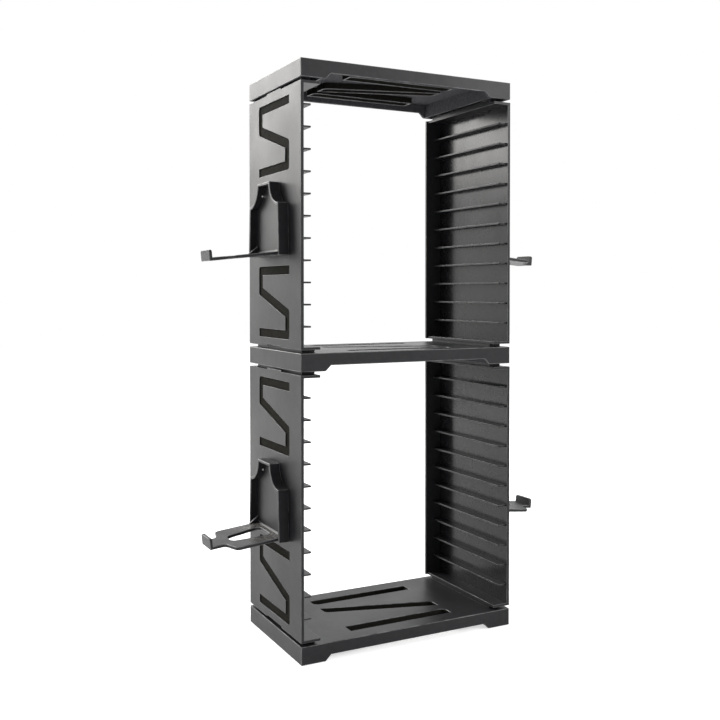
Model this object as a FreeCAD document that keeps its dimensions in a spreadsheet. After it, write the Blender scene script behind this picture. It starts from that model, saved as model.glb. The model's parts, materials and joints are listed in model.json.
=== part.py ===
import FreeCAD, Part
import math
import os
import re
import Sketcher

# Game disc storage stand: three shelves, four ribbed side panels and four controller hangers.
# Origin under the middle of the base, +X to the right, +Y to the back, +Z up, millimetres.

SIZES = [
    ("stand_width", 185.0),
    ("stand_depth", 104.0),
    ("shelf_height", 13.5),
    ("shelf_wall", 2.4),
    ("shelf_plate", 2.2),
    ("foot_length", 20.0),
    ("foot_height", 4.3),
    ("slot_half_length", 45.0),
    ("slot_half_width", 5.2),
    ("slot_row", 33.0),
    ("slot_slant", 13.0),
    ("slot_corner", 4.5),
    ("rail_inset", 19.0),
    ("rail_wall", 2.0),
    ("rim_wall", 1.6),
    ("rim_depth", 5.0),
    ("peg_radius", 3.0),
    ("peg_play", 0.1),
    ("peg_length", 5.0),
    ("peg_row", 36.0),
    ("socket_depth", 5.5),
    ("boss_radius", 5.0),
    ("spacer_height", 2.5),
    ("spacer_inset", 4.0),
    ("spacer_width", 10.5),
    ("spacer_end", 8.0),
    ("panel_height", 195.0),
    ("panel_wall", 2.4),
    ("flange_wall", 2.0),
    ("flange_reach", 15.5),
    ("back_reach", 17.0),
    ("rib_count", 11),
    ("rib_pitch", 16.15),
    ("rib_wall", 1.3),
    ("rib_reach", 6.8),
    ("rib_setback", 2.0),
    ("rib_corner", 1.0),
    ("tab_half_width", 14.0),
    ("tab_height", 1.0),
    ("recess_depth", 0.9),
    ("recess_half", 30.5),
    ("recess_upright", 7.7),
    ("recess_stroke", 6.7),
    ("recess_height", 55.4),
    ("recess_margin", 6.6),
    ("recess_knee", 22.2),
    ("recess_inner_knee", 16.7),
    ("recess_corner", 3.0),
    ("stud_row", 14.0),
    ("stud_rise", 36.0),
    ("stud_neck", 2.5),
    ("stud_head", 4.5),
    ("stud_head_wall", 0.8),
    ("stud_reach", 2.05),
    ("key_lip", 0.9),
    ("key_depth", 2.1),
    ("key_play", 0.15),
    ("key_travel", 12.0),
    ("hanger_play", 0.2),
    ("hanger_bottom", 69.5),
    ("hanger_height", 56.0),
    ("hanger_base_half", 31.0),
    ("hanger_half", 29.3),
    ("neck_half", 12.4),
    ("hanger_thick", 8.5),
    ("hanger_floor", 2.8),
    ("hanger_rim", 2.0),
    ("eyelet_radius", 0.7),
    ("eyelet_height", 47.0),
    ("arm_wall", 2.5),
    ("arm_droop", 6.0),
    ("arm_root", 3.6),
    ("arm_half", 26.0),
    ("arm_shoulder", 39.5),
    ("arm_length", 55.0),
    ("arm_neck_half", 10.0),
    ("arm_corner", 4.0),
    ("arm_cove", 1.5),
    ("lip_height", 8.2),
    ("lip_corner", 2.0),
    ("hole_start", 7.5),
    ("hole_end", 37.0),
    ("hole_start_half", 13.0),
    ("hole_end_half", 7.0),
    ("hole_start_corner", 4.0),
    ("hole_end_corner", 6.0),
    ("tongue_row", 18.0),
    ("tongue_width", 10.0),
    ("tongue_wall", 1.5),
    ("tongue_play", 0.15),
    ("tongue_short", 0.3),
    ("gusset_reach", 8.4),
    ("gusset_height", 5.6),
    ("gusset_wall", 2.0),
    ("overshoot", 1.0),
]

doc = FreeCAD.newDocument("GameDiscStand")
sheet = doc.addObject("Spreadsheet::Sheet", "Dims")
for row, (alias, number) in enumerate(SIZES, start=1):
    sheet.set("A%d" % row, alias)
    sheet.set("B%d" % row, str(number))
    sheet.setAlias("B%d" % row, alias)
doc.recompute()

AXES = {
    "XY": FreeCAD.Rotation(),
    "YZ": FreeCAD.Rotation(FreeCAD.Vector(0, 1, 0), FreeCAD.Vector(0, 0, 1), FreeCAD.Vector(1, 0, 0), "XYZ"),
    "XZ": FreeCAD.Rotation(FreeCAD.Vector(1, 0, 0), FreeCAD.Vector(0, 0, 1), FreeCAD.Vector(0, -1, 0), "XYZ"),
}
ALIASES = {alias for alias, number in SIZES}
RIBS = int(sheet.get("rib_count"))

# Formulas that several pieces share
PAST = "overshoot"
HALF_X = "stand_width / 2"
HALF_Y = "stand_depth / 2"
FULL_Y = ("-1 * stand_depth / 2", HALF_Y)
RAIL_Y = ("(shelf_wall - stand_depth) / 2", "(stand_depth - shelf_wall) / 2")
FULL_Z = ("0", "panel_height")
INNER = "(stand_width / 2 - panel_wall)"
PEG_X = "stand_width / 2 - spacer_inset - spacer_width / 2"
FACE = "(stand_width / 2 + hanger_play)"
CREST = "(hanger_bottom + hanger_height)"
SHOULDER = "(hanger_bottom + hanger_height - hanger_half + neck_half)"
TIER = "(panel_height + 2 * spacer_height + shelf_height)"

nodes = []


# Expressions
def bound(formula):
    """Return a formula over sheet aliases with each alias pointing at the sheet."""
    return re.sub("[a-z_]+", lambda word: "Dims." + word[0] if word[0] in ALIASES else word[0], formula)


def value(formula):
    return float(sheet.evalExpression(bound(formula)))


def bind(obj, prop, formula):
    obj.setExpression(prop, bound(formula))


def place(obj, x="0", y="0", z="0"):
    for axis, formula in zip("xyz", (x, y, z)):
        bind(obj, "Placement.Base." + axis, formula)
    return obj


# Building blocks
def box(name, low, high):
    """Box between two corners given as formulas."""
    obj = doc.addObject("Part::Box", name)
    for prop, a, b in zip(("Length", "Width", "Height"), low, high):
        bind(obj, prop, "(%s) - (%s)" % (b, a))
    return place(obj, *low)


def span(side, near, far):
    """X range between two distances from the middle plane, on the left (-1) or right (+1) side."""
    return (near, far) if side > 0 else ("-1 * (%s)" % far, "-1 * (%s)" % near)


def slab(name, side, near, far, y, z):
    x = span(side, near, far)
    return box(name, (x[0], y[0], z[0]), (x[1], y[1], z[1]))


def cylinder(name, radius, length, base, axis="XY"):
    """Cylinder that starts at a base point and runs along the normal of a plane."""
    obj = doc.addObject("Part::Cylinder", name)
    bind(obj, "Radius", radius)
    bind(obj, "Height", length)
    obj.Placement.Rotation = AXES[axis]
    return place(obj, *base)


def union(name, pieces):
    obj = doc.addObject("Part::MultiFuse", name)
    obj.Shapes = pieces
    return obj


def cut(name, base, tools):
    obj = doc.addObject("Part::Cut", name)
    obj.Base = base
    obj.Tool = tools[0] if len(tools) == 1 else union(name + "_tools", tools)
    return obj


def outline(name, corners, plane):
    """Closed sketch through the corners, each with an optional rounding radius."""
    sketch = doc.addObject("Sketcher::SketchObject", name)
    sketch.Placement.Rotation = AXES[plane]
    points = [FreeCAD.Vector(value(c[0]), value(c[1]), 0) for c in corners]
    count = len(points)
    starts = list(points)
    ends = list(points)
    arcs = {}
    for i, corner in enumerate(corners):
        if len(corner) < 3:
            continue
        radius = value(corner[2])
        back = (points[i - 1] - points[i]).normalize()
        ahead = (points[(i + 1) % count] - points[i]).normalize()
        half = back.getAngle(ahead) / 2
        starts[i] = points[i] + back * (radius / math.tan(half))
        ends[i] = points[i] + ahead * (radius / math.tan(half))
        centre = points[i] + (back + ahead).normalize() * (radius / math.sin(half))
        left_turn = back.cross(ahead).z < 0
        first, last = (starts[i], ends[i]) if left_turn else (ends[i], starts[i])
        angles = [math.atan2((p - centre).y, (p - centre).x) for p in (first, last)]
        circle = Part.Circle(centre, FreeCAD.Vector(0, 0, 1), radius)
        arcs[i] = (Part.ArcOfCircle(circle, angles[0], angles[1]), 1 if left_turn else 2)
    lines = [sketch.addGeometry(Part.LineSegment(ends[i], starts[(i + 1) % count])) for i in range(count)]
    for i, corner in enumerate(corners):
        before, after = lines[i - 1], lines[i]
        if i in arcs:
            arc, entry = arcs[i]
            mark = sketch.addGeometry(Part.Point(points[i]), True)
            bend = sketch.addGeometry(arc)
            sketch.addConstraint(Sketcher.Constraint("PointOnObject", mark, 1, before))
            sketch.addConstraint(Sketcher.Constraint("PointOnObject", mark, 1, after))
            sketch.addConstraint(Sketcher.Constraint("Tangent", before, 2, bend, entry))
            sketch.addConstraint(Sketcher.Constraint("Tangent", after, 1, bend, 3 - entry))
            index = sketch.addConstraint(Sketcher.Constraint("Radius", bend, value(corner[2])))
            bind(sketch, "Constraints[%d]" % index, corner[2])
        else:
            mark = after
            sketch.addConstraint(Sketcher.Constraint("Coincident", before, 2, after, 1))
        for kind, formula in (("DistanceX", corner[0]), ("DistanceY", corner[1])):
            index = sketch.addConstraint(Sketcher.Constraint(kind, mark, 1, value(formula)))
            bind(sketch, "Constraints[%d]" % index, formula)
    return sketch


def prism(name, corners, plane, start, length):
    """Rounded polygon on a plane, moved to a start along its normal and padded by a length."""
    sketch = outline(name + "_outline", corners, plane)
    axis = {"XY": "z", "YZ": "x", "XZ": "y"}[plane]
    bind(sketch, "Placement.Base." + axis, start)
    obj = doc.addObject("Part::Extrusion", name)
    obj.Base = sketch
    obj.DirMode = "Normal"
    obj.Solid = True
    bind(obj, "LengthFwd", length)
    return obj


def mirrored(corners):
    """Closed loop from the corners of the +Y half, run from the root out, and their mirror images."""
    other = [(c[0], "-1 * (%s)" % c[1]) + tuple(c[2:]) for c in corners]
    return other + list(reversed(corners))


def finish(obj, label, floor, turn=0):
    """Give a finished piece its label and its place in the stand."""
    obj.Label = label
    obj.Placement.Rotation = FreeCAD.Rotation(FreeCAD.Vector(0, 0, 1), turn)
    bind(obj, "Placement.Base.z", floor)
    nodes.append(obj)


# Shelf
def slot_bars(name, grow, start, length):
    """Three bars of the slot group: two straight ones and a slanted one between them."""
    right = "(slot_half_length + %s)" % grow
    left = "-1 * " + right
    half = "(slot_half_width + %s)" % grow
    rows = (
        ("front", "-1 * slot_row", "-1 * slot_row", (2,)),
        ("back", "slot_row", "slot_row", (0,)),
        ("slanted", "slot_slant", "-1 * slot_slant", (0, 2)),
    )
    bars = []
    for row, left_y, right_y, rounded in rows:
        corners = [
            (left, "%s - %s" % (left_y, half)),
            (right, "%s - %s" % (right_y, half)),
            (right, "%s + %s" % (right_y, half)),
            (left, "%s + %s" % (left_y, half)),
        ]
        for i in rounded:
            corners[i] += ("slot_corner",)
        bars.append(prism("%s_%s_bar" % (name, row), corners, "XY", start, length))
    return bars


def shelf(label, floor):
    block = box(
        label + "_block",
        ("-1 * stand_width / 2", "-1 * stand_depth / 2", "0"),
        (HALF_X, HALF_Y, "shelf_height"),
    )
    hollow = box(
        label + "_hollow",
        ("shelf_wall - stand_width / 2", "shelf_wall - stand_depth / 2", "-1 * " + PAST),
        ("stand_width / 2 - shelf_wall", "stand_depth / 2 - shelf_wall", "shelf_height - shelf_plate"),
    )
    foot = "(stand_width / 2 - foot_length)"
    arch = prism(
        label + "_arch",
        [
            ("-1 * %s" % foot, "-1 * " + PAST),
            (foot, "-1 * " + PAST),
            (foot, "0"),
            ("%s - foot_height" % foot, "foot_height"),
            ("foot_height - %s" % foot, "foot_height"),
            ("-1 * %s" % foot, "0"),
        ],
        "XZ",
        "stand_depth / 2 + " + PAST,
        "stand_depth + 2 * " + PAST,
    )
    shell = cut(label + "_shell", block, [hollow, arch])
    rims = slot_bars(
        label + "_rim",
        "rim_wall",
        "shelf_height - shelf_plate - rim_depth",
        "rim_depth + shelf_plate / 2",
    )
    openings = slot_bars(
        label + "_slot",
        "0",
        "shelf_height - shelf_plate - rim_depth - " + PAST,
        "rim_depth + shelf_plate + 2 * " + PAST,
    )
    rails = []
    for hand, side in (("left", -1), ("right", 1)):
        near = "stand_width / 2 - rail_inset"
        upright = ("0", "shelf_height - shelf_plate / 2")
        rails.append(slab("%s_%s_rail" % (label, hand), side, near, near + " + rail_wall", RAIL_Y, upright))
    bosses = []
    sockets = []
    for i, (sx, sy) in enumerate(((-1, -1), (1, -1), (-1, 1), (1, 1)), start=1):
        x = "%d * (%s)" % (sx, PEG_X)
        y = "%d * peg_row" % sy
        height = "shelf_height - shelf_plate / 2"
        bosses.append(cylinder("%s_boss_%d" % (label, i), "boss_radius", height, (x, y, "0")))
        for end, z in (("low", "-1 * " + PAST), ("high", "shelf_height - socket_depth")):
            name = "%s_%s_socket_%d" % (label, end, i)
            radius = "peg_radius + peg_play"
            sockets.append(cylinder(name, radius, "socket_depth + " + PAST, (x, y, z)))
    body = union(label + "_body", [shell] + rims + rails + bosses)
    finish(cut(label + "_shape", body, openings + sockets), label, floor)


# Side panel
def recess(name, side, top):
    """Zigzag recess whose upper edge lies at a height, sunk in the outer face."""
    a = "recess_half"
    b = "(recess_half - recess_upright)"
    stroke = "(%s - recess_stroke)" % top
    low = "(%s - recess_height)" % top
    corners = [
        ("-1 * " + a, top),
        (a, top, "recess_corner"),
        (a, "%s - recess_knee" % top, "recess_corner"),
        ("-1 * " + b, "%s + recess_inner_knee" % low),
        ("-1 * " + b, "%s + recess_stroke" % low),
        (a, "%s + recess_stroke" % low),
        (a, low),
        ("-1 * " + a, low, "recess_corner"),
        ("-1 * " + a, "%s + recess_knee" % low, "recess_corner"),
        (b, "%s - recess_inner_knee" % top),
        (b, stroke),
        ("-1 * " + a, stroke),
    ]
    x = span(side, "stand_width / 2 - recess_depth", HALF_X + " + " + PAST)
    return prism(name, corners, "YZ", x[0], "recess_depth + " + PAST)


def panel(label, side, floor):
    top = "panel_height"
    pieces = [
        slab(label + "_wall", side, INNER, HALF_X, FULL_Y, FULL_Z),
        slab(
            label + "_back",
            side,
            "stand_width / 2 - back_reach",
            HALF_X,
            ("stand_depth / 2 - flange_wall", HALF_Y),
            FULL_Z,
        ),
        slab(
            label + "_tab",
            side,
            INNER,
            HALF_X,
            ("-1 * tab_half_width", "tab_half_width"),
            ("panel_height - flange_wall", "panel_height + tab_height"),
        ),
    ]
    rib_span = "((rib_count - 1) * rib_pitch)"
    first = "((panel_height - %s) / 2)" % rib_span
    ribs = []
    for i in range(RIBS):
        middle = "(%s + %d * rib_pitch)" % (first, i)
        ribs.append(
            slab(
                "%s_rib_%d" % (label, i + 1),
                side,
                INNER + " - rib_reach",
                INNER + " + panel_wall / 2",
                ("rib_setback - stand_depth / 2", "stand_depth / 2 - flange_wall / 2"),
                (middle + " - rib_wall / 2", middle + " + rib_wall / 2"),
            )
        )
    ends = (
        ("low", ("0", "flange_wall"), ("-1 * spacer_height", "0"), "-1 * spacer_height - peg_length"),
        ("high", (top + " - flange_wall", top), (top, top + " + spacer_height"), top + " + spacer_height"),
    )
    for end, flange_z, spacer_z, peg_z in ends:
        near = "stand_width / 2 - flange_reach"
        pieces.append(slab("%s_%s_flange" % (label, end), side, near, HALF_X, FULL_Y, flange_z))
        pieces.append(
            slab(
                "%s_%s_spacer" % (label, end),
                side,
                "stand_width / 2 - spacer_inset - spacer_width",
                "stand_width / 2 - spacer_inset",
                ("spacer_end - stand_depth / 2", "stand_depth / 2 - spacer_end"),
                spacer_z,
            )
        )
        for row, y in (("front", "-1 * peg_row"), ("back", "peg_row")):
            pieces.append(
                cylinder(
                    "%s_%s_%s_peg" % (label, end, row),
                    "peg_radius",
                    "peg_length",
                    ("%d * (%s)" % (side, PEG_X), y, peg_z),
                )
            )
    for row, y in (("front", "-1 * stud_row"), ("back", "stud_row")):
        for part, radius, near, length in (
            ("neck", "stud_neck", INNER + " + panel_wall / 2", "panel_wall / 2 + stud_reach"),
            ("head", "stud_head", "stand_width / 2 + stud_reach - stud_head_wall", "stud_head_wall"),
        ):
            x = span(side, near, "%s + %s" % (near, length))
            base = (x[0], y, "hanger_bottom + stud_rise")
            pieces.append(cylinder("%s_%s_stud_%s" % (label, row, part), radius, length, base, "YZ"))
    nose = INNER + " - rib_reach"
    front = "rib_setback - stand_depth / 2"
    reach = (nose + " - " + PAST, nose, nose + " + rib_corner + " + PAST)
    x = ["%d * (%s)" % (side, formula) for formula in reach]
    corner = prism(
        label + "_rib_nose",
        [
            (x[0], front + " - " + PAST),
            (x[2], front + " - " + PAST),
            (x[2], front),
            (x[1], front, "rib_corner"),
            (x[1], front + " + rib_corner + " + PAST),
            (x[0], front + " + rib_corner + " + PAST),
        ],
        "XY",
        "flange_wall",
        "panel_height - 2 * flange_wall",
    )
    comb = cut(label + "_comb", union(label + "_ribs", ribs), [corner])
    body = union(label + "_body", pieces + [comb])
    cutters = [
        recess(label + "_upper_recess", side, "(panel_height - recess_margin)"),
        recess(label + "_lower_recess", side, "(recess_margin + recess_height)"),
        slab(
            label + "_notch",
            side,
            INNER,
            HALF_X + " + " + PAST,
            ("-1 * tab_half_width", "tab_half_width"),
            ("-1 * " + PAST, "tab_height"),
        ),
    ]
    finish(cut(label + "_shape", body, cutters), label, floor)


# Controller hanger, drawn on the right side and turned about the upright axis for the left side
def tilted(obj):
    """Lay a piece that was drawn flat along the drooping arm."""
    obj.Placement = FreeCAD.Placement(FreeCAD.Vector(), FreeCAD.Rotation(FreeCAD.Vector(0, 1, 0), 1))
    bind(obj, "Placement.Rotation.Angle", "arm_droop")
    return place(obj, HALF_X, "0", "hanger_bottom + arm_root")


def tongues(name, grow, tip):
    """Pair of flat tongues at the root of the arm, or with some growth the slots that take them."""
    half = "(tongue_width / 2 + %s)" % grow
    under = "-1 * (arm_wall + tongue_wall) / 2 - " + grow
    over = "(tongue_wall - arm_wall) / 2 + " + grow
    pair = []
    for row, y in (("front", "-1 * tongue_row"), ("back", "tongue_row")):
        low = (tip, "%s - %s" % (y, half), under)
        high = ("hanger_play + hanger_thick", "%s + %s" % (y, half), over)
        pair.append(box("%s_%s" % (name, row), low, high))
    return tilted(union(name, pair))


def bottle(name, inset, bottom, start, length):
    """Bottle-shaped block whose sides and top lie an inset inside the outline of the housing."""
    base = "(hanger_base_half - %s)" % inset
    half = "(hanger_half - %s)" % inset
    top = "(%s - %s)" % (CREST, inset)
    block = prism(
        name + "_block",
        [
            ("-1 * " + base, bottom),
            (base, bottom),
            (half, SHOULDER),
            (half, top),
            ("-1 * " + half, top),
            ("-1 * " + half, SHOULDER),
        ],
        "YZ",
        start,
        length,
    )
    radius = "hanger_half - neck_half + " + inset
    through = "%s + 2 * %s" % (length, PAST)
    scoops = []
    for side, y in (("front", "-1 * hanger_half"), ("back", "hanger_half")):
        middle = ("%s - %s" % (start, PAST), y, CREST)
        scoops.append(cylinder("%s_%s_scoop" % (name, side), radius, through, middle, "YZ"))
    return cut(name, block, scoops)


def housing_blank(label):
    """Bottle-shaped tray, open outward and below, with an eyelet in one side of its neck."""
    body = bottle(label + "_body", "0", "hanger_bottom", FACE, "hanger_thick")
    hollow = bottle(
        label + "_hollow",
        "hanger_rim",
        "hanger_bottom - " + PAST,
        FACE + " + hanger_floor",
        "hanger_thick - hanger_floor + " + PAST,
    )
    eyelet = cylinder(
        label + "_eyelet",
        "eyelet_radius",
        "hanger_half",
        (FACE + " + hanger_floor + 1.5 * eyelet_radius", "0", "hanger_bottom + eyelet_height"),
        "XZ",
    )
    return cut(label + "_blank", body, [hollow, eyelet])


def keyhole(name, y):
    """Keyhole in the back of the housing: round entry below, undercut slot up to the rest."""
    rest = "(hanger_bottom + stud_rise)"
    entry = "(hanger_bottom + stud_rise - key_travel)"
    back = FACE + " - " + PAST
    lip = FACE + " + key_lip"
    neck = "(stud_neck + key_play)"
    head = "(stud_head + key_play)"
    cutters = [cylinder(name + "_entry", head, "key_depth + " + PAST, (back, y, entry), "YZ")]
    for part, half, x, length in (
        ("slot", neck, back, "key_lip + 2 * " + PAST),
        ("channel", head, lip, "key_depth - key_lip"),
    ):
        low = (x, "%s - %s" % (y, half), entry)
        high = ("%s + %s" % (x, length), "%s + %s" % (y, half), rest)
        cutters.append(box("%s_%s" % (name, part), low, high))
        cutters.append(cylinder("%s_%s_end" % (name, part), half, length, (x, y, rest), "YZ"))
    return cutters


def housing(label, blank, turn, floor):
    cutters = [tongues(label + "_slots", "tongue_play", "hanger_play - " + PAST)]
    for row, y in (("front", "-1 * stud_row"), ("back", "stud_row")):
        cutters += keyhole("%s_%s_keyhole" % (label, row), y)
    finish(cut(label + "_shape", blank, cutters), label, floor, turn)


def arm(label, blank, turn, floor):
    half = [
        ("hanger_play + arm_wall / 2", "arm_half"),
        ("arm_shoulder", "arm_half", "arm_corner"),
        ("arm_shoulder + arm_corner", "arm_neck_half", "arm_corner"),
        ("arm_length", "arm_neck_half"),
    ]
    hole = [
        ("hole_start", "hole_start_half", "hole_start_corner"),
        ("hole_end", "hole_end_half", "hole_end_corner"),
    ]
    plate = prism(label + "_plate", mirrored(half), "XY", "-1 * arm_wall", "arm_wall")
    through = ("-1 * arm_wall - " + PAST, "arm_wall + 2 * " + PAST)
    opening = prism(label + "_hole", mirrored(hole), "XY", *through)
    lip = prism(
        label + "_lip",
        [
            ("-1 * arm_neck_half", "-1 * arm_wall"),
            ("arm_neck_half", "-1 * arm_wall"),
            ("arm_neck_half", "lip_height - arm_wall", "lip_corner"),
            ("-1 * arm_neck_half", "lip_height - arm_wall", "lip_corner"),
        ],
        "YZ",
        "arm_length - arm_wall",
        "arm_wall",
    )
    under = "-1 * arm_wall / 2"
    root = "(hanger_play + hanger_floor)"
    wedges = []
    for part, reach, height, start, length in (
        ("gusset", "gusset_reach", "gusset_height", "gusset_wall - arm_half", "gusset_wall"),
        ("cove", "arm_cove", "arm_cove", "arm_half", "2 * arm_half"),
    ):
        end = "%s + %s" % (root, reach)
        corners = [(root, under), (end, under), (end, "0"), (root, height)]
        wedges.append(prism("%s_%s" % (label, part), corners, "XZ", start, length))
    flat = tilted(union(label + "_flat", [cut(label + "_pierced", plate, [opening]), lip] + wedges))
    trimmed = cut(label + "_trimmed", flat, [blank])
    tongue = tongues(label + "_tongue", "0", "hanger_play + tongue_short")
    finish(union(label + "_shape", [trimmed, tongue]), label, floor, turn)


# Assembly
for label, level in (("base_shelf", 0), ("middle_shelf", 1), ("top_shelf", 2)):
    shelf(label, "%d * %s" % (level, TIER))
for tier, level in (("lower", 0), ("upper", 1)):
    floor = "shelf_height + spacer_height + %d * %s" % (level, TIER)
    for hand, side, turn in (("left", -1, 180), ("right", 1, 0)):
        name = "%s_%s" % (tier, hand)
        panel(name + "_panel", side, floor)
        blank = housing_blank(name + "_hanger")
        housing(name + "_hanger_housing", blank, turn, floor)
        arm(name + "_hanger_arm", blank, turn, floor)

doc.recompute()
for obj in doc.Objects:
    if "Invalid" in obj.State or "Error" in obj.State:
        raise RuntimeError("%s did not build: %s" % (obj.Name, obj.State))
for obj in nodes:
    if obj.Shape.isNull() or not obj.Shape.isValid() or len(obj.Shape.Solids) != 1:
        raise RuntimeError("%s is not one valid solid" % obj.Label)

os.makedirs("parts", exist_ok=True)
for obj in nodes:
    obj.Shape.exportStep("parts/%s.step" % obj.Label)
    print("%s: %.0f mm3" % (obj.Label, obj.Shape.Volume))
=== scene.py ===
import json
import math

import bmesh
import bpy
from bpy.props import FloatProperty, FloatVectorProperty, IntProperty, PointerProperty
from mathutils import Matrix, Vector


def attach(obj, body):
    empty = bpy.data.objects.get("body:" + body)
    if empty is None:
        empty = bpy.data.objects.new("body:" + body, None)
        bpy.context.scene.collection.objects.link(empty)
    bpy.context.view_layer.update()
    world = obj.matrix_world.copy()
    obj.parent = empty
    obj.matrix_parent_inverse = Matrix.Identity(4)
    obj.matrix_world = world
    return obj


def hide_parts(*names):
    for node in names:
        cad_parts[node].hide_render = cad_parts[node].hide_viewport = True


bl_info = {
    "name": "Game Disc Storage Stand",
    "version": (1, 0, 0),
    "blender": (4, 5, 0),
    "location": "3D View > Sidebar > Disc Stand",
    "description": "Rounded plastic mouldings, finishes and studio for a game disc storage stand",
    "category": "Object",
}

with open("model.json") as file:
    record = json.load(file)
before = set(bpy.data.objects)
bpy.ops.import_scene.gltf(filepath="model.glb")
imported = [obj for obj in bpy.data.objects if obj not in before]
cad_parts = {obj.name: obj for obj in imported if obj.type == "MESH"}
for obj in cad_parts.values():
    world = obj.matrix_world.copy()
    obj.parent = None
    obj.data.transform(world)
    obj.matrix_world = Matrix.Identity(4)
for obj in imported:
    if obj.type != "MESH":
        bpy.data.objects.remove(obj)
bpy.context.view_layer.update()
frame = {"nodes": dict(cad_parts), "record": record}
BODIES = frame["record"]["behaviour"]["bodies"]

# Places of the finishes among the material slots of a piece
# The recess finish is also painted shade on the slot walls, the edge finish is partly a painted
# highlight, and the underside finish is painted fill light
PLASTIC, RECESS_AND_SLOT_SHADE, EDGE_WEAR_AND_HIGHLIGHT, INNER, SCUFFED, UNDERSIDE_FILL_LIGHT = range(6)

# Noise patterns: scale in features per metre, levels of detail, roughness of the detail
CLOUDS = (16.0, 4.0, 0.55)
MOTTLE = (240.0, 3.0, 0.5)
DUST = (420.0, 3.0, 0.5)
WEAR_AND_HIGHLIGHT = (90.0, 4.0, 0.6)
SMUDGES = (30.0, 4.0, 0.55)
SCUFFS = (150.0, 3.0, 0.5)
FLECKS = (520.0, 4.0, 0.65)
ARM_CLOUDS = (60.0, 4.0, 0.6)
FIBRES = (60.0, 3.0, 0.5)
# Detail alone, for the patterns whose scale follows the grain of the plastic
GRAIN = (2.0, 0.5)
PITS = (4.0, 0.7)
PIT_WIDTH = 3.0  # in grains
PIT_DEPTH = 5.0  # in grain heights
PIT_ROUGHNESS = (0.72, 0.92)

# Values of a pattern that are stretched: most of a noise, its peaks alone, or all of a switch
NOISE_SPAN = (0.3, 0.7)
FLECK_SPAN = (0.5, 0.62)
FULL_SPAN = (0.0, 1.0)

# Strengths of the bumps
GRAIN_STRENGTH = 0.6
PIT_STRENGTH = 0.8
SCUFF_STRENGTH = 0.12

# Specular levels of the finishes that differ from the satin plastic
RECESS_SHEEN = 0.03
UNDERSIDE_SHEEN = 0.1
EDGE_SHEEN = 0.36

# How much paler dust makes the coarse plastic, and fibres the floor
DUST_LIFT = 1.5
FIBRE_LIFT = 1.02

# Mesh limits: distances in metres, an edge length in rounding widths, parts of a face's normal
MERGE_DISTANCE = 1e-6
PLANE_TOLERANCE = 5e-5
FULL_ROUNDING = 0.6
SQUARE_ON = 0.9
UPWARD = 0.5
UPRIGHT = 0.1

# Studio: sensor in millimetres, distances in metres, colours of the light
SENSOR_WIDTH = 36.0
FLOOR_DROP = 0.0002
LAMP_TARGET = (0.0, 0.0, 0.25)
WHITE = (1.0, 1.0, 1.0)
WARM_WHITE = (1.0, 0.985, 0.96)


# Settings
class DISCSTAND_PG_mouldings(bpy.types.PropertyGroup):
    """Edge rounding of the plastic mouldings, and where their finishes change."""

    shelf_edge: FloatProperty(
        name="Shelf edge",
        description="Width of the rounding on the outer edges of the shelves",
        default=0.0005,
        min=0.0,
        max=0.001,
        precision=5,
        unit="LENGTH",
    )
    panel_edge: FloatProperty(
        name="Panel edge",
        description="Width of the rounding on the edges and ribs of the side panels",
        default=0.0002,
        min=0.0,
        max=0.0006,
        precision=5,
        unit="LENGTH",
    )
    housing_edge: FloatProperty(
        name="Housing edge",
        description="Width of the rounding on the edges of the hanger housings",
        default=0.0005,
        min=0.0,
        max=0.001,
        precision=5,
        unit="LENGTH",
    )
    arm_edge: FloatProperty(
        name="Arm edge",
        description="Width of the rounding on the edges of the hanger arms",
        default=0.0005,
        min=0.0,
        max=0.001,
        precision=5,
        unit="LENGTH",
    )
    edge_segments: IntProperty(
        name="Edge segments",
        description="Number of strips across each rounded edge",
        default=3,
        min=1,
        max=6,
    )
    sharp_angle: FloatProperty(
        name="Sharp angle",
        description="Smallest turn between two faces that counts as an edge of the moulding",
        default=math.radians(28),
        min=0.0,
        max=math.pi,
        subtype="ANGLE",
        unit="ROTATION",
    )
    flat_angle: FloatProperty(
        name="Flat angle",
        description="Largest turn between two facets that are joined into one flat face",
        default=math.radians(0.5),
        min=0.0,
        max=math.pi,
        subtype="ANGLE",
        unit="ROTATION",
    )
    recess_floor: FloatProperty(
        name="Recess floor",
        description="Distance of the floor of the zigzag recesses from the middle plane",
        default=0.0916,
        precision=5,
        unit="LENGTH",
    )
    inner_wall: FloatProperty(
        name="Inner wall",
        description="Distance of the inner faces of the side panels from the middle plane",
        default=0.0901,
        precision=5,
        unit="LENGTH",
    )
    slot_reach: FloatProperty(
        name="Slot reach",
        description="Farthest that a slot's walls lie from the middle plane",
        default=0.05,
        precision=5,
        unit="LENGTH",
    )
    slot_margin: FloatProperty(
        name="Slot margin",
        description="Farthest that a slot's walls lie from the middle, front to back",
        default=0.045,
        precision=5,
        unit="LENGTH",
    )
    skirt_x: FloatProperty(
        name="Side skirts",
        description="Distance from the middle plane inside which a face isn't a side of a shelf",
        default=0.092,
        precision=5,
        unit="LENGTH",
    )
    skirt_y: FloatProperty(
        name="Front and back skirts",
        description="Distance from the middle inside which a face isn't a shelf's front or back",
        default=0.0515,
        precision=5,
        unit="LENGTH",
    )


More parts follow.
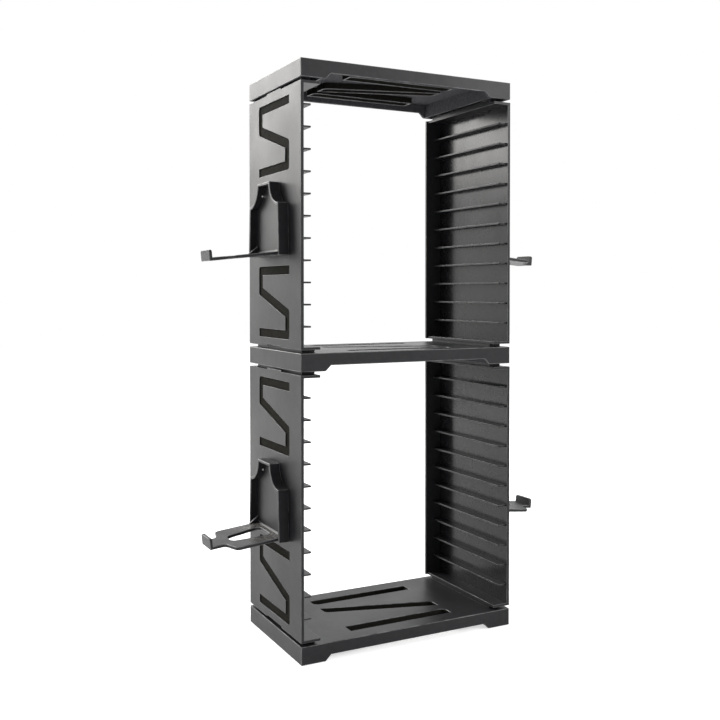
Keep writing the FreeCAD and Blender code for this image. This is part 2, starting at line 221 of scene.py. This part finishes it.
class DISCSTAND_PG_finishes(bpy.types.PropertyGroup):
    """Colours and surface detail of the plastic."""

    plastic_colour: FloatVectorProperty(
        name="Plastic colour",
        description="Colour of the satin black plastic",
        default=(0.011, 0.011, 0.0128),
        min=0.0,
        max=1.0,
        subtype="COLOR",
    )
    haze_colour: FloatVectorProperty(
        name="Haze colour",
        description="Colour of the faint cloudy patches in the plastic",
        default=(0.016, 0.016, 0.0175),
        min=0.0,
        max=1.0,
        subtype="COLOR",
    )
    # Recess colour: the real coarse plastic of the zigzag recesses, and painted shade on the
    # walls of the shelves' slots
    recess_and_slot_shade_colour: FloatVectorProperty(
        name="Recess colour",
        description="Colour of the coarse matte plastic in the zigzag recesses and the slots",
        default=(0.01, 0.0097, 0.008),
        min=0.0,
        max=1.0,
        subtype="COLOR",
    )
    # Painted fill light: the undersides are coloured paler than the plastic to stand in for light
    # from below
    underside_fill_light_colour: FloatVectorProperty(
        name="Underside colour",
        description="Colour of the unpolished matte undersides of the shelves",
        default=(0.06, 0.06, 0.066),
        min=0.0,
        max=1.0,
        subtype="COLOR",
    )
    # Edge colour: real rubbed wear, and also a painted highlight along the rounded edges
    edge_wear_and_highlight_colour: FloatVectorProperty(
        name="Edge colour",
        description="Colour of the edges where handling has rubbed them",
        default=(0.17, 0.17, 0.175),
        min=0.0,
        max=1.0,
        subtype="COLOR",
    )
    scuff_colour: FloatVectorProperty(
        name="Scuff colour",
        description="Colour of the pale worn flecks near the roots of the arms",
        default=(0.24, 0.225, 0.2),
        min=0.0,
        max=1.0,
        subtype="COLOR",
    )
    scuff_start: FloatProperty(
        name="Scuff start",
        description="Distance from the middle plane at which the flecks are thickest",
        default=0.103,
        precision=5,
        unit="LENGTH",
    )
    scuff_end: FloatProperty(
        name="Scuff end",
        description="Distance from the middle plane past which there are no flecks",
        default=0.126,
        precision=5,
        unit="LENGTH",
    )
    roughness: FloatProperty(
        name="Roughness",
        description="Middle roughness of the satin plastic",
        default=0.42,
        min=0.0,
        max=1.0,
        subtype="FACTOR",
    )
    sheen: FloatProperty(
        name="Sheen",
        description="Specular level of the satin plastic",
        default=0.2,
        min=0.0,
        max=1.0,
        subtype="FACTOR",
    )
    inner_roughness: FloatProperty(
        name="Inner roughness",
        description="Middle roughness of the smoother inner faces of the side panels",
        default=0.2,
        min=0.0,
        max=1.0,
        subtype="FACTOR",
    )
    smudge: FloatProperty(
        name="Smudge",
        description="How far the roughness wanders in cloudy patches",
        default=0.05,
        min=0.0,
        max=0.3,
        subtype="FACTOR",
    )
    grain_scale: FloatProperty(
        name="Grain scale",
        description="Grains per metre of the moulded texture",
        default=1300.0,
        min=100.0,
        max=10000.0,
    )
    grain_height: FloatProperty(
        name="Grain height",
        description="Depth of the moulded texture",
        default=0.000012,
        min=0.0,
        max=0.001,
        precision=6,
        unit="LENGTH",
    )


class DISCSTAND_PG_studio(bpy.types.PropertyGroup):
    """Camera, lamps and floor."""

    camera_place: FloatVectorProperty(
        name="Camera place",
        description="Where the camera stands",
        default=(-0.3661, -0.673, 0.273),
        subtype="XYZ",
        unit="LENGTH",
    )
    camera_yaw: FloatProperty(
        name="Camera yaw",
        description="Turn of the camera to the right of straight ahead",
        default=math.radians(27.376),
        subtype="ANGLE",
        unit="ROTATION",
    )
    camera_pitch: FloatProperty(
        name="Camera pitch",
        description="Tilt of the camera above the horizon",
        default=math.radians(-0.91),
        subtype="ANGLE",
        unit="ROTATION",
    )
    lens: FloatProperty(
        name="Lens",
        description="Focal length on a 36 mm sensor",
        default=46.95,
        min=1.0,
        unit="CAMERA",
    )
    frame_rise: FloatProperty(
        name="Frame rise",
        description="Vertical lens shift of the picture, in frame widths",
        default=-0.0764,
    )
    floor_colour: FloatVectorProperty(
        name="Floor colour",
        description="Colour of the studio floor",
        default=(0.86, 0.86, 0.86),
        min=0.0,
        max=1.0,
        subtype="COLOR",
    )
    floor_size: FloatProperty(
        name="Floor size",
        description="Side of the square studio floor",
        default=8.0,
        min=1.0,
        unit="LENGTH",
    )
    floor_glow: FloatProperty(
        name="Floor glow",
        description="Light that the floor adds to what the camera sees of it",
        default=0.62,
        min=0.0,
        max=1.0,
        subtype="FACTOR",
    )
    surround: FloatProperty(
        name="Surround",
        description="Strength of the soft light that comes from all round",
        default=0.6,
        min=0.0,
        max=2.0,
    )
    side_lamp: FloatProperty(
        name="Side lamp",
        description="Power of the large softbox behind the left side",
        default=46.0,
        min=0.0,
        unit="POWER",
    )
    low_lamp: FloatProperty(
        name="Low lamp",
        description="Power of the weak strip below the large softbox",
        default=2.6,
        min=0.0,
        unit="POWER",
    )
    back_lamp: FloatProperty(
        name="Back lamp",
        description="Power of the softbox behind the right side",
        default=3.2,
        min=0.0,
        unit="POWER",
    )
    front_lamp: FloatProperty(
        name="Front lamp",
        description="Power of the softbox in front of the right side",
        default=22.0,
        min=0.0,
        unit="POWER",
    )


# Finishes
def new_node(tree, kind, **settings):
    """Add a shader node; settings name its attributes or, failing that, its inputs."""
    node = tree.nodes.new(kind)
    for key, setting in settings.items():
        if hasattr(node, key):
            setattr(node, key, setting)
        else:
            node.inputs[key].default_value = setting
    return node


def rgba(colour):
    """A colour with full opacity, as the shader sockets take it."""
    return (*colour, 1.0)


def start_material(name):
    """New material with its shader, and object coordinates to drive the patterns."""
    material = bpy.data.materials.new(name)
    material.use_nodes = True
    tree = material.node_tree
    place = new_node(tree, "ShaderNodeTexCoord").outputs["Object"]
    return material, tree, tree.nodes["Principled BSDF"], place


def noise(tree, place, scale, detail, roughness):
    """Fine or cloudy noise on the object's coordinates."""
    node = new_node(tree, "ShaderNodeTexNoise", Scale=scale, Detail=detail, Roughness=roughness)
    tree.links.new(place, node.inputs["Vector"])
    return node.outputs["Fac"]


def remap(tree, source, low=0.0, high=1.0, span=NOISE_SPAN):
    """Stretch a span of a pattern to run from one number to another."""
    limits = {"From Min": span[0], "From Max": span[1], "To Min": low, "To Max": high}
    node = new_node(tree, "ShaderNodeMapRange", **limits)
    tree.links.new(source, node.inputs["Value"])
    return node.outputs["Result"]


def compute(tree, operation, *sources):
    """Work out one pattern from others."""
    node = new_node(tree, "ShaderNodeMath", operation=operation)
    for socket, source in zip(node.inputs, sources):
        tree.links.new(source, socket)
    return node.outputs["Value"]


def tint(tree, amount, shader, first, second):
    """Colour the surface with a mix of two colours that follows a pattern."""
    mix = new_node(tree, "ShaderNodeMix", data_type="RGBA", A=rgba(first), B=rgba(second))
    tree.links.new(amount, mix.inputs["Factor"])
    tree.links.new(mix.outputs["Result"], shader.inputs["Base Color"])


def roughen(tree, pattern, shader, low, high):
    """Let the roughness follow a pattern from one number to another."""
    tree.links.new(remap(tree, pattern, low, high), shader.inputs["Roughness"])


def emboss(tree, height, shader, distance, strength):
    """Raise the surface by a pattern."""
    node = new_node(tree, "ShaderNodeBump", Distance=distance, Strength=strength)
    tree.links.new(height, node.inputs["Height"])
    tree.links.new(node.outputs["Normal"], shader.inputs["Normal"])


def satin_plastic(name, finishes):
    """Satin black plastic with a fine moulded grain and cloudy patches of sheen."""
    material, tree, shader, place = start_material(name)
    mottle = remap(tree, noise(tree, place, *MOTTLE))
    tint(tree, mottle, shader, finishes.plastic_colour, finishes.haze_colour)
    low = finishes.roughness - finishes.smudge
    high = finishes.roughness + finishes.smudge
    roughen(tree, noise(tree, place, *CLOUDS), shader, low, high)
    shader.inputs["Specular IOR Level"].default_value = finishes.sheen
    grain = noise(tree, place, finishes.grain_scale, *GRAIN)
    emboss(tree, grain, shader, finishes.grain_height, GRAIN_STRENGTH)
    return material


def coarse_plastic(name, finishes, shade, sheen):
    """Coarse, spark-eroded matte plastic with a dusty variation of its colour."""
    material, tree, shader, place = start_material(name)
    dusty = [DUST_LIFT * part for part in shade]
    tint(tree, remap(tree, noise(tree, place, *DUST)), shader, shade, dusty)
    pits = noise(tree, place, finishes.grain_scale / PIT_WIDTH, *PITS)
    roughen(tree, pits, shader, *PIT_ROUGHNESS)
    shader.inputs["Specular IOR Level"].default_value = sheen
    emboss(tree, pits, shader, PIT_DEPTH * finishes.grain_height, PIT_STRENGTH)
    return material


def recess_and_slot_shade_plastic(name, finishes):
    """Floors of the zigzag recesses, and walls of the shelves' slots, where the dark colour is
    painted shade.
    """
    return coarse_plastic(name, finishes, finishes.recess_and_slot_shade_colour, RECESS_SHEEN)


def underside_fill_light_plastic(name, finishes):
    """Undersides of the shelves, painted paler than the plastic as fill light from below."""
    return coarse_plastic(name, finishes, finishes.underside_fill_light_colour, UNDERSIDE_SHEEN)


def edge_wear_and_highlight_plastic(name, finishes):
    """Edges that handling has rubbed a little paler and smoother; the pale colour is also a
    painted highlight along the rounded edges.
    """
    material, tree, shader, place = start_material(name)
    wear_and_highlight = noise(tree, place, *WEAR_AND_HIGHLIGHT)
    tint(tree, remap(tree, wear_and_highlight), shader, finishes.plastic_colour, finishes.edge_wear_and_highlight_colour)
    rubbed = finishes.roughness - 2 * finishes.smudge
    roughen(tree, wear_and_highlight, shader, finishes.roughness, rubbed)
    shader.inputs["Specular IOR Level"].default_value = EDGE_SHEEN
    return material


def inner_plastic(name, finishes):
    """Smoother inner faces, smudged where game cases have slid along them."""
    material, tree, shader, place = start_material(name)
    scuffs = noise(tree, place, *SCUFFS)
    tint(tree, remap(tree, scuffs), shader, finishes.plastic_colour, finishes.haze_colour)
    low = finishes.inner_roughness - finishes.smudge
    high = finishes.inner_roughness + finishes.smudge
    roughen(tree, noise(tree, place, *SMUDGES), shader, low, high)
    shader.inputs["Specular IOR Level"].default_value = finishes.sheen
    emboss(tree, scuffs, shader, finishes.grain_height, SCUFF_STRENGTH)
    return material


def scuffed_plastic(name, finishes):
    """Tops of the arms: satin plastic with pale flecks that thin out away from the housing."""
    material, tree, shader, place = start_material(name)
    split = new_node(tree, "ShaderNodeSeparateXYZ")
    tree.links.new(place, split.inputs["Vector"])
    distance = compute(tree, "ABSOLUTE", split.outputs["X"])
    near = remap(tree, distance, 1.0, 0.0, (finishes.scuff_start, finishes.scuff_end))
    flecks = remap(tree, noise(tree, place, *FLECKS), span=FLECK_SPAN)
    amount = compute(tree, "MULTIPLY", near, flecks)
    tint(tree, amount, shader, finishes.haze_colour, finishes.scuff_colour)
    low = finishes.roughness - finishes.smudge
    high = finishes.roughness + finishes.smudge
    roughen(tree, noise(tree, place, *ARM_CLOUDS), shader, low, high)
    shader.inputs["Specular IOR Level"].default_value = finishes.sheen
    return material


FINISHES = {
    "satin_black_plastic": satin_plastic,
    "coarse_recess_and_slot_shade_plastic": recess_and_slot_shade_plastic,
    "rubbed_edge_wear_and_highlight_plastic": edge_wear_and_highlight_plastic,
    "smooth_inner_plastic": inner_plastic,
    "scuffed_arm_plastic": scuffed_plastic,
    "matte_underside_fill_light_plastic": underside_fill_light_plastic,
}


def finish_slots(finishes):
    """The finishes in the order of their slots, made on first use."""
    made = bpy.data.materials
    return [made.get(name) or make(name, finishes) for name, make in FINISHES.items()]


# Mouldings
def body_of(node):
    """Name of the body that a node belongs to."""
    for body, members in BODIES.items():
        if node in members:
            return body
    raise ValueError("%s is on no body" % node)


def mark_edges(bm, sharp_angle, width):
    """Give outer edges a rounding weight, less on short ones, and keep inner corners crisp."""
    weight = bm.edges.layers.float.new("bevel_weight_edge")
    for face in bm.faces:
        face.smooth = True
    for edge in bm.edges:
        sharp = len(edge.link_faces) == 2 and edge.calc_face_angle() > sharp_angle
        if sharp and edge.is_convex:
            edge[weight] = min(1.0, edge.calc_length() / (FULL_ROUNDING * width))
        edge.smooth = edge.is_convex or not sharp


def plain_finish(face, sizes):
    """Satin plastic all over."""
    return PLASTIC


def shelf_finish(face, sizes):
    """Slot walls painted dark as shade, undersides painted pale as fill light, satin plastic
    elsewhere.
    """
    middle = face.calc_center_median()
    near = abs(middle.x) < sizes.slot_reach and abs(middle.y) < sizes.slot_margin
    # Slot walls take the dark recess finish as painted shade inside the slots
    if near and abs(face.normal.z) < UPRIGHT:
        return RECESS_AND_SLOT_SHADE
    # Faces below the shelf and inside its skirts take the paler underside finish, which is
    # painted fill light
    inside = abs(middle.x) < sizes.skirt_x and abs(middle.y) < sizes.skirt_y
    return UNDERSIDE_FILL_LIGHT if inside and face.normal.z < UPWARD else PLASTIC


def panel_finish(face, sizes):
    """Matte floors in a panel's recesses, smooth inner faces and satin plastic elsewhere."""
    distance = abs(face.calc_center_median().x)
    for slot, plane in ((RECESS_AND_SLOT_SHADE, sizes.recess_floor), (INNER, sizes.inner_wall)):
        if abs(face.normal.x) > SQUARE_ON and abs(distance - plane) < PLANE_TOLERANCE:
            return slot
    return PLASTIC


def arm_finish(face, sizes):
    """Scuffed tops on the arms and satin plastic elsewhere."""
    return SCUFFED if face.normal.z > SQUARE_ON else PLASTIC


def moulding(context, node, width, finish_of):
    """Rounded copy of a node that stands for it: merged, flattened and given soft outer edges."""
    sizes = context.scene.discstand_mouldings
    bm = bmesh.new()
    bm.from_mesh(frame["nodes"][node].data)
    bmesh.ops.remove_doubles(bm, verts=bm.verts, dist=MERGE_DISTANCE)
    bmesh.ops.dissolve_limit(bm, angle_limit=sizes.flat_angle, verts=bm.verts, edges=bm.edges)
    bm.normal_update()
    mark_edges(bm, sizes.sharp_angle, width)
    for face in bm.faces:
        face.material_index = finish_of(face, sizes)
    mesh = bpy.data.meshes.new(node + "_moulding")
    bm.to_mesh(mesh)
    bm.free()
    if "custom_normal" in mesh.attributes:
        mesh.attributes.remove(mesh.attributes["custom_normal"])
    for material in finish_slots(context.scene.discstand_finishes):
        mesh.materials.append(material)
    piece = bpy.data.objects.new(mesh.name, mesh)
    context.scene.collection.objects.link(piece)
    bevel = piece.modifiers.new("soft_edges", "BEVEL")
    bevel.limit_method = "WEIGHT"
    bevel.width = width
    bevel.segments = sizes.edge_segments
    bevel.profile = 0.5
    bevel.use_clamp_overlap = False
    bevel.harden_normals = True
    # The rounded edges take the edge finish, whose pale colour is partly a painted highlight
    bevel.material = EDGE_WEAR_AND_HIGHLIGHT
    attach(piece, body_of(node))
    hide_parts(node)


def mould_all(context, ending, width, finish_of):
    """Make a moulding of every node whose name has this ending."""
    for node in frame["nodes"]:
        if node.endswith(ending):
            moulding(context, node, width, finish_of)


class DISCSTAND_OT_shelves(bpy.types.Operator):
    """Make the base, the middle shelf and the cap"""

    bl_idname = "discstand.shelves"
    bl_label = "Shelves"

    def execute(self, context):
        sizes = context.scene.discstand_mouldings
        mould_all(context, "_shelf", sizes.shelf_edge, shelf_finish)
        return {"FINISHED"}


class DISCSTAND_OT_panels(bpy.types.Operator):
    """Make the four ribbed side panels with their zigzag recesses"""

    bl_idname = "discstand.panels"
    bl_label = "Side Panels"

    def execute(self, context):
        sizes = context.scene.discstand_mouldings
        mould_all(context, "_panel", sizes.panel_edge, panel_finish)
        return {"FINISHED"}


class DISCSTAND_OT_housings(bpy.types.Operator):
    """Make the hollow-faced housings of the controller hangers"""

    bl_idname = "discstand.housings"
    bl_label = "Hanger Housings"

    def execute(self, context):
        sizes = context.scene.discstand_mouldings
        mould_all(context, "_housing", sizes.housing_edge, plain_finish)
        return {"FINISHED"}


class DISCSTAND_OT_arms(bpy.types.Operator):
    """Make the arms of the controller hangers"""

    bl_idname = "discstand.arms"
    bl_label = "Hanger Arms"

    def execute(self, context):
        sizes = context.scene.discstand_mouldings
        mould_all(context, "_arm", sizes.arm_edge, arm_finish)
        return {"FINISHED"}


# Studio
def seen_directly(tree):
    """1 for rays that show a surface to the camera, also by reflection, and 0 for light rays."""
    path = new_node(tree, "ShaderNodeLightPath")
    total = path.outputs["Is Camera Ray"]
    for name in ("Is Glossy Ray", "Is Transmission Ray"):
        total = compute(tree, "MAXIMUM", total, path.outputs[name])
    return total


def lay_floor(context, studio):
    """Pale paper floor that shows white to the camera apart from the stand's shadow."""
    mesh = bpy.data.meshes.new("studio_floor")
    bm = bmesh.new()
    bmesh.ops.create_grid(bm, x_segments=1, y_segments=1, size=studio.floor_size / 2)
    bmesh.ops.translate(bm, verts=bm.verts, vec=(0.0, 0.0, -FLOOR_DROP))
    bm.to_mesh(mesh)
    bm.free()
    floor = bpy.data.objects.new("studio_floor", mesh)
    context.scene.collection.objects.link(floor)
    material, tree, shader, place = start_material("studio_floor_paper")
    paler = [min(1.0, FIBRE_LIFT * part) for part in studio.floor_colour]
    tint(tree, noise(tree, place, *FIBRES), shader, studio.floor_colour, paler)
    shader.inputs["Roughness"].default_value = 1.0
    shader.inputs["Specular IOR Level"].default_value = 0.0
    shader.inputs["Emission Color"].default_value = rgba(WHITE)
    glow = remap(tree, seen_directly(tree), 0.0, studio.floor_glow, FULL_SPAN)
    tree.links.new(glow, shader.inputs["Emission Strength"])
    mesh.materials.append(material)


def light_surround(context, studio):
    """Soft light from all round that shows white to the camera."""
    world = bpy.data.worlds.new("studio_surround")
    world.use_nodes = True
    tree = world.node_tree
    background = tree.nodes["Background"]
    background.inputs["Color"].default_value = rgba(WHITE)
    strength = remap(tree, seen_directly(tree), studio.surround, 1.0, FULL_SPAN)
    tree.links.new(strength, background.inputs["Strength"])
    context.scene.world = world


def hang_softbox(context, name, place, width, height, power, colour):
    """Rectangular lamp that faces the stand and isn't seen by the camera."""
    lamp = bpy.data.lights.new(name, "AREA")
    lamp.color = colour
    lamp.shape = "RECTANGLE"
    lamp.size = width
    lamp.size_y = height
    lamp.energy = power
    softbox = bpy.data.objects.new(name, lamp)
    softbox.location = place
    aim = Vector(LAMP_TARGET) - Vector(place)
    softbox.rotation_euler = aim.to_track_quat("-Z", "Y").to_euler()
    softbox.visible_camera = False
    context.scene.collection.objects.link(softbox)


def set_camera(context, studio):
    """Camera at the photograph's viewing angle."""
    data = bpy.data.cameras.new("studio_camera")
    data.sensor_width = SENSOR_WIDTH
    data.lens = studio.lens
    data.shift_y = studio.frame_rise
    camera = bpy.data.objects.new("studio_camera", data)
    camera.location = studio.camera_place
    camera.rotation_euler = (math.pi / 2 + studio.camera_pitch, 0.0, -studio.camera_yaw)
    context.scene.collection.objects.link(camera)
    context.scene.camera = camera


class DISCSTAND_OT_studio(bpy.types.Operator):
    """Lay the floor, set the camera and hang the lamps"""

    bl_idname = "discstand.studio"
    bl_label = "Studio"

    def execute(self, context):
        studio = context.scene.discstand_studio
        lay_floor(context, studio)
        light_surround(context, studio)
        lamps = (
            ("side_softbox", (-0.8, 1.5, 1.2), 1.3, 1.3, studio.side_lamp, WARM_WHITE),
            ("low_softbox", (-0.8, 1.5, 0.4), 1.3, 0.5, studio.low_lamp, WARM_WHITE),
            ("back_softbox", (0.85, 1.6, 0.9), 1.2, 0.7, studio.back_lamp, WHITE),
            ("front_softbox", (1.4, -1.45, 0.95), 0.6, 0.6, studio.front_lamp, WHITE),
        )
        for lamp in lamps:
            hang_softbox(context, *lamp)
        set_camera(context, studio)
        context.scene.view_settings.view_transform = "Standard"
        return {"FINISHED"}


class DISCSTAND_PT_panel(bpy.types.Panel):
    """Steps and settings of the disc stand"""

    bl_idname = "DISCSTAND_PT_panel"
    bl_label = "Game Disc Storage Stand"
    bl_space_type = "VIEW_3D"
    bl_region_type = "UI"
    bl_category = "Disc Stand"

    def draw(self, context):
        for step in STEPS:
            self.layout.operator(step.bl_idname)
        for name, settings in SETTINGS.items():
            group = getattr(context.scene, name)
            box = self.layout.box()
            for setting in settings.__annotations__:
                box.prop(group, setting)


STEPS = (
    DISCSTAND_OT_shelves,
    DISCSTAND_OT_panels,
    DISCSTAND_OT_housings,
    DISCSTAND_OT_arms,
    DISCSTAND_OT_studio,
)
SETTINGS = {
    "discstand_mouldings": DISCSTAND_PG_mouldings,
    "discstand_finishes": DISCSTAND_PG_finishes,
    "discstand_studio": DISCSTAND_PG_studio,
}


def register():
    for name, settings in SETTINGS.items():
        bpy.utils.register_class(settings)
        setattr(bpy.types.Scene, name, PointerProperty(type=settings))
    for step in STEPS:
        bpy.utils.register_class(step)
    bpy.utils.register_class(DISCSTAND_PT_panel)


def unregister():
    bpy.utils.unregister_class(DISCSTAND_PT_panel)
    for step in reversed(STEPS):
        bpy.utils.unregister_class(step)
    for name, settings in SETTINGS.items():
        delattr(bpy.types.Scene, name)
        bpy.utils.unregister_class(settings)


def main():
    register()
    bpy.ops.discstand.shelves()
    bpy.ops.discstand.panels()
    bpy.ops.discstand.housings()
    bpy.ops.discstand.arms()
    bpy.ops.discstand.studio()


if __name__ == "__main__":
    main()
